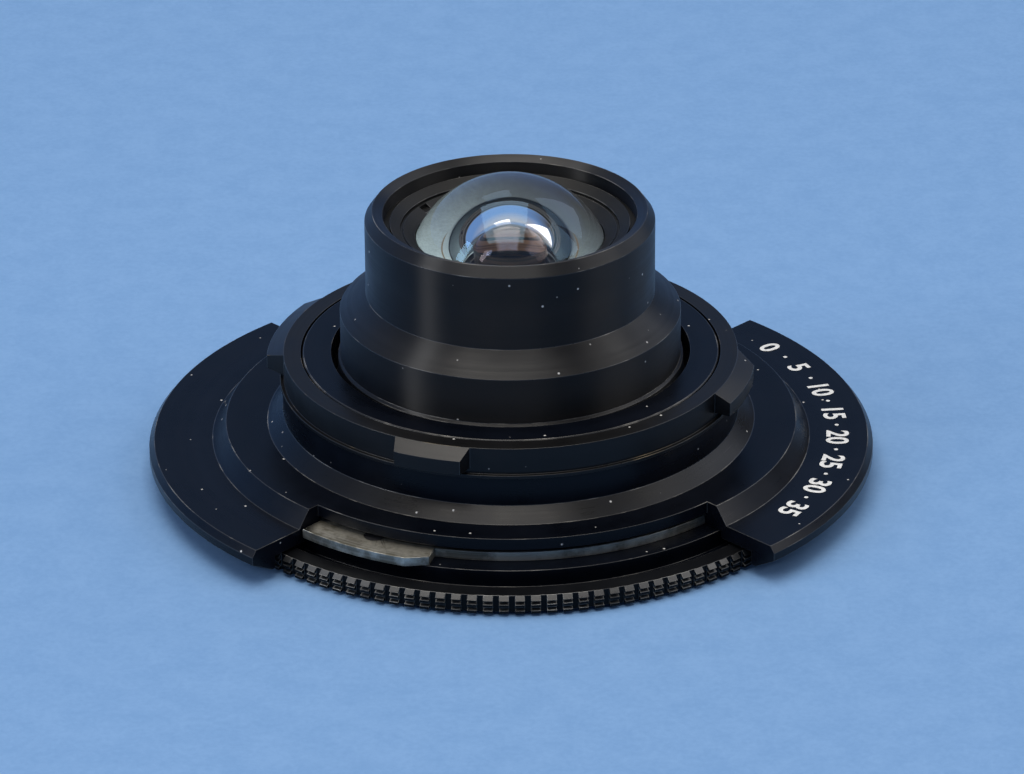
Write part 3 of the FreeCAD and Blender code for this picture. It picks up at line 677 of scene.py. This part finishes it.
def bayonet():
    """The disc with its lugs, whose ends lean in from the root to the outer edge."""
    node = "bayonet_ring"
    outer = max(point.x for loop in section(node, LUG_MIDDLE) for point in loop) - RIM_INSET
    roots = solid_spans(node, LUG_ROOT, LUG_LEVEL)
    tips = solid_spans(node, outer, LUG_LEVEL)
    mesh = sectored(node, roots)
    for vert in mesh.verts:
        if Vector(vert.co[:2]).length < outer:
            continue
        azimuth = azimuth_of(vert.co)
        index = min(range(len(roots)), key=lambda index: off_span(azimuth, roots[index]))
        start, sweep = tips[index]
        middle = start + sweep / 2
        along = (azimuth - middle + 180) % 360 - 180
        shift = max(-sweep / 2, min(sweep / 2, along)) - along
        vert.co.xy = Matrix.Rotation(math.radians(shift), 2) @ vert.co.xy
    return tidied(mesh)


def slotted(node, level):
    """A ring with spanner slots: full sections between them, lower ones in them."""
    return sectored(node, solid_spans(node, high(node).x - RIM_INSET, level))


GRIP_TEETH, GRIP_STEP = 132, 0.7
TOOTH_INSET, TOOTH_LEVEL = 0.1, 0.2
GROOVE_LEAST, GROOVE_MOST = 0.1, 0.3
GROOVE_EXTRA, GROOVE_SLOPE = 0.12, 0.16


def grip():
    """The knurled ring: a tooth section and a slot section by turns."""
    node = "grip_ring"
    pitch = 360 / GRIP_TEETH
    radius, height = high(node).x - TOOTH_INSET, low(node).z + TOOTH_LEVEL
    start, sweep = solid_spans(node, radius, height, 0, 2 * pitch, pitch / 2)[0]
    spans = [(start + pitch * index, sweep) for index in range(GRIP_TEETH)]
    return sectored(node, spans, GRIP_STEP, opened_grooves)


def opened_grooves(loop):
    """A tooth's outline with each groove a little deeper and its lower face sloping down and outward."""
    radius = max(point.x for point in loop)
    floors = [point for point in loop if GROOVE_LEAST < radius - point.x < GROOVE_MOST]
    lower = sorted(point.y for point in floors)[::2]
    for point in loop:
        if point in floors:
            point.x -= GROOVE_EXTRA
        elif point.x > radius - TOUCH and any(abs(point.y - level) < TOUCH for level in lower):
            point.y -= GROOVE_SLOPE
    return loop


def bevels_painted_lit(item, slot, least, most):
    """Gives a piece's sloping faces, whose normals rise between two shares, another material: here a
    lighter, shinier one, partly the bevels' own sheen and partly a painted highlight for the light they
    catch.
    """
    for face in item.data.polygons:
        if least < face.normal.z < most:
            face.material_index = slot


LENS_STEP, LENS_FLAT, LENS_WALL, LENS_APEX = 2.0, 0.999, 0.02, 1.0


def lens_piece(node, polished, ground):
    """A lens whose curved faces are polished and whose level rims and upright walls are ground."""
    mesh = spun([(0, 360, [arcs_restored(loop) for loop in section(node)])], LENS_STEP)
    for face in mesh.faces:
        rise = abs(face.normal.z)
        rim = max(Vector(vert.co[:2]).length for vert in face.verts) > LENS_APEX
        face.material_index = 1 if rim and (rise > LENS_FLAT or rise < LENS_WALL) else 0
    return turned_piece(node, [polished, ground], mesh, break_edges=0)


GRIP_BEVEL_LOW, GRIP_BEVEL_HIGH = 0.3, 0.95
REAR_SLOT_LEVEL, FRONT_SLOT_LEVEL = 24.75, 6.35

turned_piece("flange_body", [ANODISED, EDGE], flange(), edge_slot=1)
turned_piece("bayonet_ring", [BLACK_BRASS, BRASS_EDGE], bayonet(), edge_slot=1)
turned_piece("clamp_ring", [ANODISED, EDGE], edge_slot=1)
turned_piece("collar_ring", [BRASS], plate("collar_ring"))
turned_piece("focus_ring", [ANODISED, EDGE], edge_slot=1)
grip_look = turned_piece("grip_ring", [ANODISED_GRIP, GRIP_EDGE, GRIP_BEVEL], grip(), edge_slot=1,
                         break_edges=FINE_BREAK)
bevels_painted_lit(grip_look, 2, GRIP_BEVEL_LOW, GRIP_BEVEL_HIGH)
turned_piece("stop_plate", [STEEL], plate("stop_plate"))
turned_piece("scale_ring", [ANODISED, EDGE], plate("scale_ring"), edge_slot=1)
turned_piece("optical_barrel", [BARREL_BLACK, EDGE], edge_slot=1)
turned_piece("rear_cell", [MATTE_BLACK])
turned_piece("rear_element_ring", [MATTE_BLACK, EDGE], slotted("rear_element_ring", REAR_SLOT_LEVEL),
             edge_slot=1)
turned_piece("rear_lock_ring", [MATTE_BLACK, EDGE], edge_slot=1)
turned_piece("centre_cell", [MATTE_BLACK])
turned_piece("centre_retainer", [MATTE_BLACK, EDGE], edge_slot=1)
turned_piece("front_cell", [MATTE_BLACK])
turned_piece("front_element_ring", [MATTE_BLACK, EDGE], slotted("front_element_ring", FRONT_SLOT_LEVEL),
             edge_slot=1)
turned_piece("front_trim_ring", [ANODISED, EDGE], edge_slot=1)
lens_piece("rear_lens", REAR_GLASS, GROUND)
lens_piece("centre_lens", CENTRE_GLASS, GROUND_DARK)
lens_piece("front_lens", FRONT_GLASS, GROUND)
for node in ("guide_screw", "collar_screws", "plate_screws", "scale_screws"):
    frame["nodes"][node].data.materials.clear()
    frame["nodes"][node].data.materials.append(SCREW_STEEL)


# ---------------------------------------------------------------- generic scale engraved on a wing

SCALE_LABELS = ("0", "5", "10", "15", "20", "25", "30", "35")
SCALE_FIRST, SCALE_LAST = 35.0, -33.0
WING_FLAT = 29.5
SCALE_BASE, SCALE_HEIGHT, MARK_RISE = 30.3, 2.05, 0.02
FIGURE_SHARE, STROKE_SWELL = 0.7, 0.07
DOT_RADIUS, DOT_PLACE, DOT_SIDES = 0.2, 31.3, 12


def label_mesh(text):
    """A number's flat outline as a mesh, centred across and standing on its base line."""
    curve = bpy.data.curves.new("label_" + text, "FONT")
    curve.body = text
    curve.size = SCALE_HEIGHT / FIGURE_SHARE
    curve.align_x = "CENTER"
    curve.offset = STROKE_SWELL
    item = bpy.data.objects.new("label_source", curve)
    bpy.context.scene.collection.objects.link(item)
    data = bpy.data.meshes.new_from_object(item.evaluated_get(bpy.context.evaluated_depsgraph_get()))
    bpy.data.objects.remove(item)
    return data


def wing_scale():
    """Numbers with dots between them that read clockwise round the wing, with their tops outward."""
    outline = section("flange_body", 0.0)
    top = max(point.y for loop in outline for point in loop if point.x > WING_FLAT)
    mesh = bmesh.new()
    spacing = (SCALE_LAST - SCALE_FIRST) / (len(SCALE_LABELS) - 1)
    for index, text in enumerate(SCALE_LABELS):
        azimuth = SCALE_FIRST + spacing * index
        data = label_mesh(text)
        turn = Matrix.Rotation(math.radians(azimuth - 90), 4, "Z")
        data.transform(turn @ Matrix.Translation((0, SCALE_BASE, top + MARK_RISE)))
        mesh.from_mesh(data)
        if index + 1 < len(SCALE_LABELS):
            dot(mesh, azimuth + spacing / 2, top + MARK_RISE)
    return mesh


def dot(mesh, azimuth, level):
    """A small filled round mark between two numbers."""
    centre = around(Vector((DOT_PLACE, level)), azimuth)
    spots = [centre + around(Vector((DOT_RADIUS, 0)), 360 / DOT_SIDES * step) for step in range(DOT_SIDES)]
    mesh.faces.new([mesh.verts.new(spot) for spot in spots])


piece("wing_scale", wing_scale(), "mount", [MARK_WHITE], break_edges=0, slot="black_anodised_aluminium")


# ---------------------------------------------------------------- floor, light and camera

FLOOR_RADIUS, FLOOR_SIDES = 3000, 96


def floor():
    """A wide round card under the object."""
    mesh = bmesh.new()
    bmesh.ops.create_circle(mesh, cap_ends=True, segments=FLOOR_SIDES, radius=FLOOR_RADIUS)
    mesh.transform(Matrix.Scale(METRES, 4))
    data = bpy.data.meshes.new("floor")
    mesh.to_mesh(data)
    mesh.free()
    data.materials.append(floor_paper("blue_card"))
    item = bpy.data.objects.new("floor", data)
    bpy.context.scene.collection.objects.link(item)


WHITE = (1.0, 1.0, 1.0)
OBJECT_MIDDLE = (0, 0, 15)
SOFTBOXES = (
    ("overhead", (-60, -40, 650), (-60, -40, 0), 480, 640, 3.2, (1.0, 0.955, 0.90)),
    ("left_front", (-560, -230, 330), OBJECT_MIDDLE, 120, 420, 1.1, WHITE),
    ("right_side", (540, -80, 400), OBJECT_MIDDLE, 360, 420, 0.8, (1.0, 0.95, 0.89)),
    ("right_back", (440, 320, 420), OBJECT_MIDDLE, 380, 420, 0.55, (1.0, 0.98, 0.95)),
    ("back_left", (-120, 440, 640), OBJECT_MIDDLE, 260, 160, 0.16, WHITE))


def softbox(name, place, aim, width, height, power, tint):
    """A soft rectangular lamp at a place, turned toward what it aims at; its power is in watts."""
    light = bpy.data.lights.new(name, "AREA")
    light.shape = "RECTANGLE"
    light.size, light.size_y = width * METRES, height * METRES
    light.energy = power
    light.color = tint
    item = bpy.data.objects.new(name, light)
    item.location = Vector(place) * METRES
    item.rotation_euler = (Vector(aim) - Vector(place)).to_track_quat("-Z", "Y").to_euler()
    bpy.context.scene.collection.objects.link(item)


def studio_air():
    """Light from all round: pale blue from behind, warmer from above, dim from the front and right."""
    graph = Graph("studio_air", bpy.data.worlds, "ShaderNodeOutputWorld")
    parts = graph.add("SeparateXYZ", {0: graph.add("TexCoord").outputs["Generated"]})
    right, behind, above = parts.outputs[0], parts.outputs[1], parts.outputs[2]
    paint = graph.blend(graph.span(above, 0.4, 0.9), colour(112, 154, 216), colour(206, 202, 194))
    shade = graph.math("MULTIPLY", graph.span(right, 0.15, 0.5), graph.span(above, 0.5, 0.2))
    paint = graph.blend(shade, paint, colour(84, 80, 74))
    power = graph.span(behind, -0.8, 0.3, 0.38, 0.74)
    return graph.surface(graph.add("Background", {"Color": paint, "Strength": power}))


def studio():
    bpy.context.scene.world = studio_air()
    for settings in SOFTBOXES:
        softbox(*settings)


CAMERA_ELEVATION, CAMERA_ROLL, CAMERA_DISTANCE = 25.84, -0.32, 518.1
CAMERA_RIGHT, CAMERA_DOWN = -0.21, -16.79
CAMERA_LENS, SENSOR_WIDTH, CLIP_START = 193.4, 36.0, 0.01


def camera():
    """A camera with a long lens, placed from the middle of the barrel's rim."""
    tilt, roll = math.radians(CAMERA_ELEVATION), math.radians(CAMERA_ROLL)
    ahead = Vector((0, math.cos(tilt), -math.sin(tilt)))
    level_down = Vector((0, -math.sin(tilt), -math.cos(tilt)))
    right = Vector((math.cos(roll), 0, 0)) - level_down * math.sin(roll)
    down = Vector((math.sin(roll), 0, 0)) + level_down * math.cos(roll)
    rim = Vector((0, 0, high("optical_barrel").z))
    place = rim - right * CAMERA_RIGHT - down * CAMERA_DOWN - ahead * CAMERA_DISTANCE
    data = bpy.data.cameras.new("camera")
    data.lens = CAMERA_LENS
    data.sensor_width = SENSOR_WIDTH
    data.clip_start = CLIP_START
    item = bpy.data.objects.new("camera", data)
    turned = Matrix((right, -down, -ahead)).transposed().to_4x4()
    item.matrix_world = Matrix.Translation(place * METRES) @ turned
    bpy.context.scene.collection.objects.link(item)
    bpy.context.scene.camera = item


floor()
studio()
camera()
bpy.context.scene.view_settings.view_transform = "Standard"
